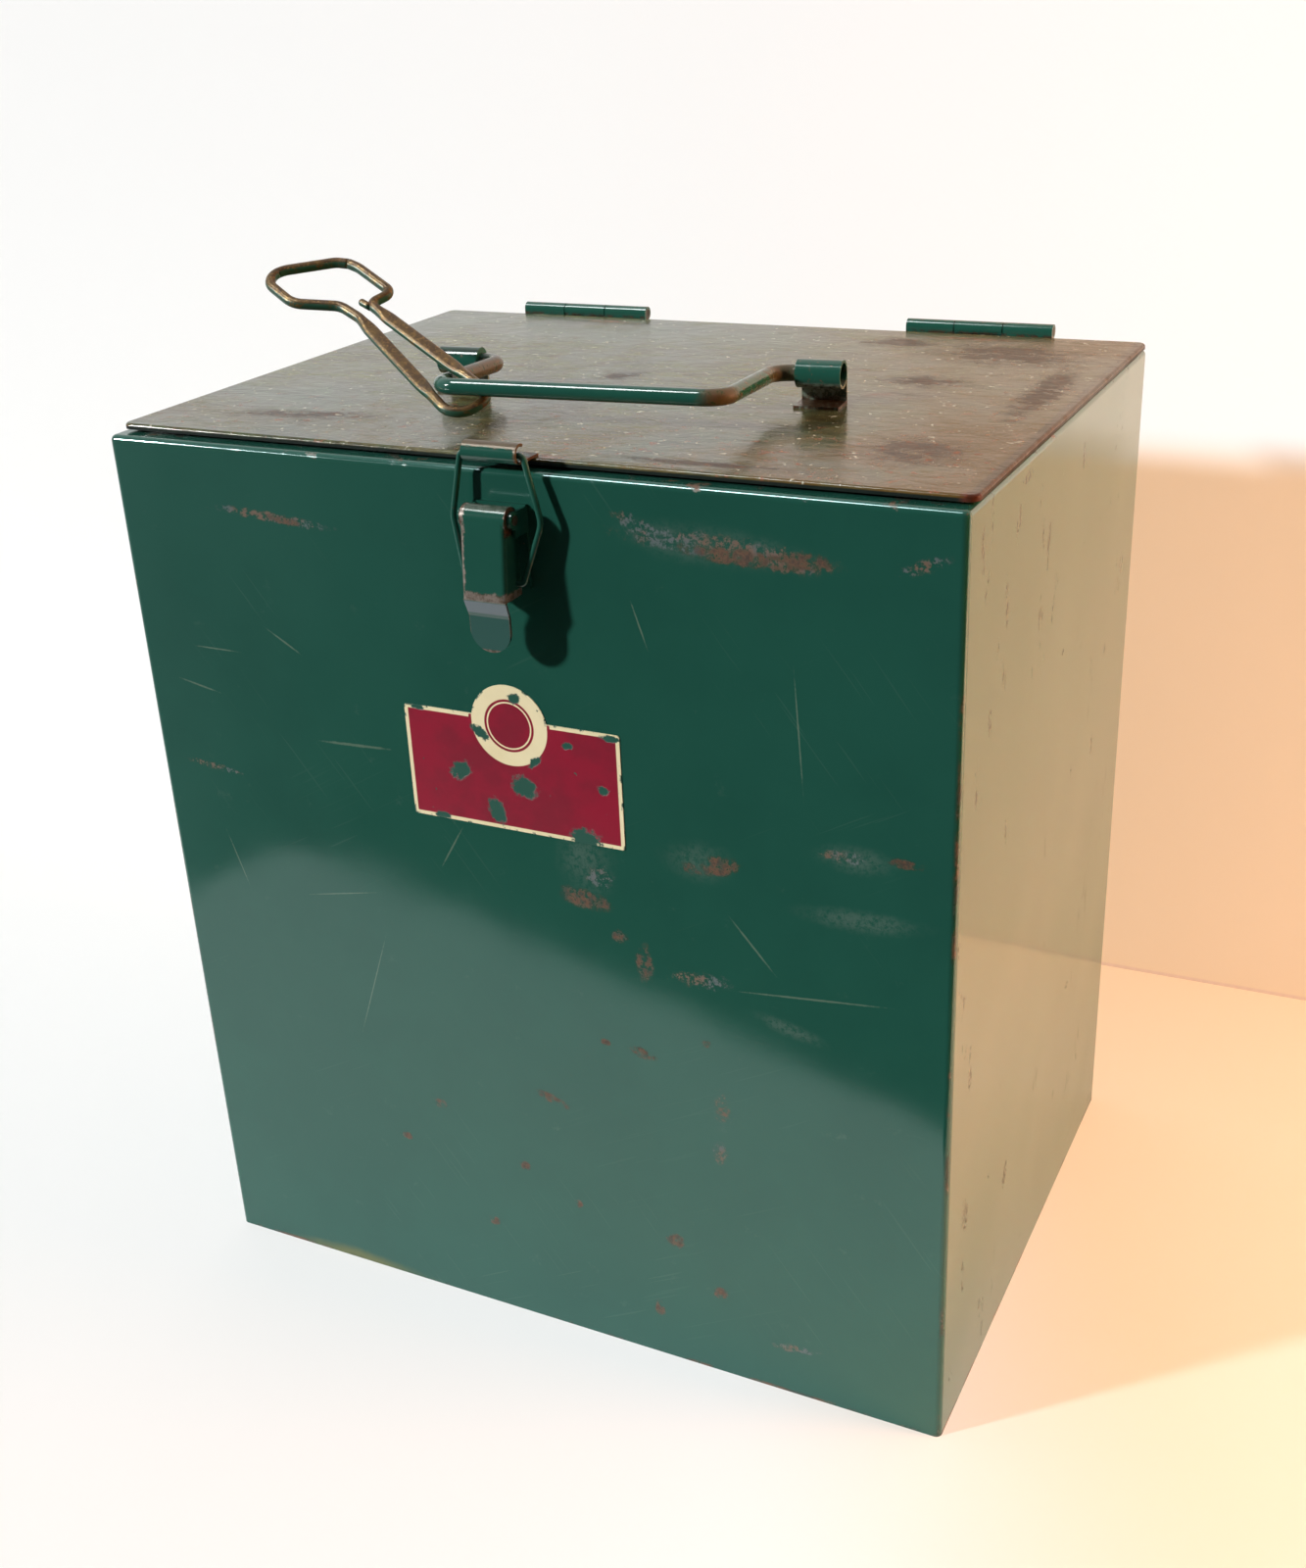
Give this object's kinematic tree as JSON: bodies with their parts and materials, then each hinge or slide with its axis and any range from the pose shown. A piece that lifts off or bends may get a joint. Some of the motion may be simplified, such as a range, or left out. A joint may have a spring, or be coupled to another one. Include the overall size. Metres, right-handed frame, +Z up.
{
  "type": "portable ice box",
  "caption": "Rectangular sheet-steel ice box with a hinged lid, draw latch, wire bail handle on the lid and a wire bottle opener hung on the bail.",
  "frame": {"origin": "centre of the underside of the box", "axes": "+Z up, -Y towards the latch side, +X to the right seen from the latch side"},
  "size_m": [0.3056, 0.2439, 0.3861],
  "materials": {
    "green_enamel": "glossy enamel",
    "worn_lid_enamel": "worn enamel with rust",
    "galvanised_steel": "galvanised",
    "bare_pin_steel": "dull",
    "rusty_steel": "rusted with traces of paint",
    "gasket_rubber": "soft black",
    "insulation_board": "felted fibre",
    "crimson_label": "printed enamel, chipped"
  },
  "bodies": {
    "box": {"body_shell": "green_enamel", "base_pan": "galvanised_steel", "wall_insulation": "insulation_board", "base_insulation": "insulation_board", "inner_liner": "galvanised_steel", "hinge_body_leaf_left": "green_enamel", "hinge_body_leaf_right": "green_enamel", "hinge_pin_left": "bare_pin_steel", "hinge_pin_right": "bare_pin_steel", "latch_base": "green_enamel", "latch_pin": "bare_pin_steel", "label_plate": "crimson_label"},
    "lid": {"lid_skin": "worn_lid_enamel", "lid_inner_pan": "galvanised_steel", "lid_insulation": "insulation_board", "lid_gasket": "gasket_rubber", "hinge_lid_leaf_left": "rusty_steel", "hinge_lid_leaf_right": "rusty_steel", "latch_keeper": "green_enamel", "handle_lug_left": "green_enamel", "handle_lug_right": "green_enamel"},
    "lever": {"latch_lever": "green_enamel"},
    "loop": {"latch_loop": "green_enamel"},
    "bail": {"bail_handle": "green_enamel"},
    "opener": {"bottle_opener": "rusty_steel"}
  },
  "joints": [
    {"name": "lid_hinge", "type": "hinge", "parent": "box", "child": "lid", "pos_m": [0, 0.1147, 0.3401], "axis": [-1, 0, 0], "range_deg": [0, 105]},
    {"name": "latch_lever", "type": "hinge", "parent": "box", "child": "lever", "pos_m": [0.003, -0.1202, 0.3231], "axis": [-1, 0, 0], "range_deg": [0, 120]},
    {"name": "latch_loop", "type": "hinge", "parent": "lever", "child": "loop", "pos_m": [0.003, -0.119, 0.3025], "axis": [-1, 0, 0], "range_deg": [-53, 0]},
    {"name": "bail_hinge", "type": "hinge", "parent": "lid", "child": "bail", "pos_m": [0.0065, -0.0233, 0.3495], "axis": [-0.9964, -0.0844, 0], "range_deg": [0, 110]},
    {"name": "opener_swing", "type": "hinge", "parent": "bail", "child": "opener", "pos_m": [0.01088, -0.07505, 0.3524], "axis": [0.9964, 0.0844, 0], "range_deg": [0, 25]}
  ],
  "couplings": [
    {"joint": "latch_loop", "follows": "latch_lever", "ratio": -0.44}
  ]
}
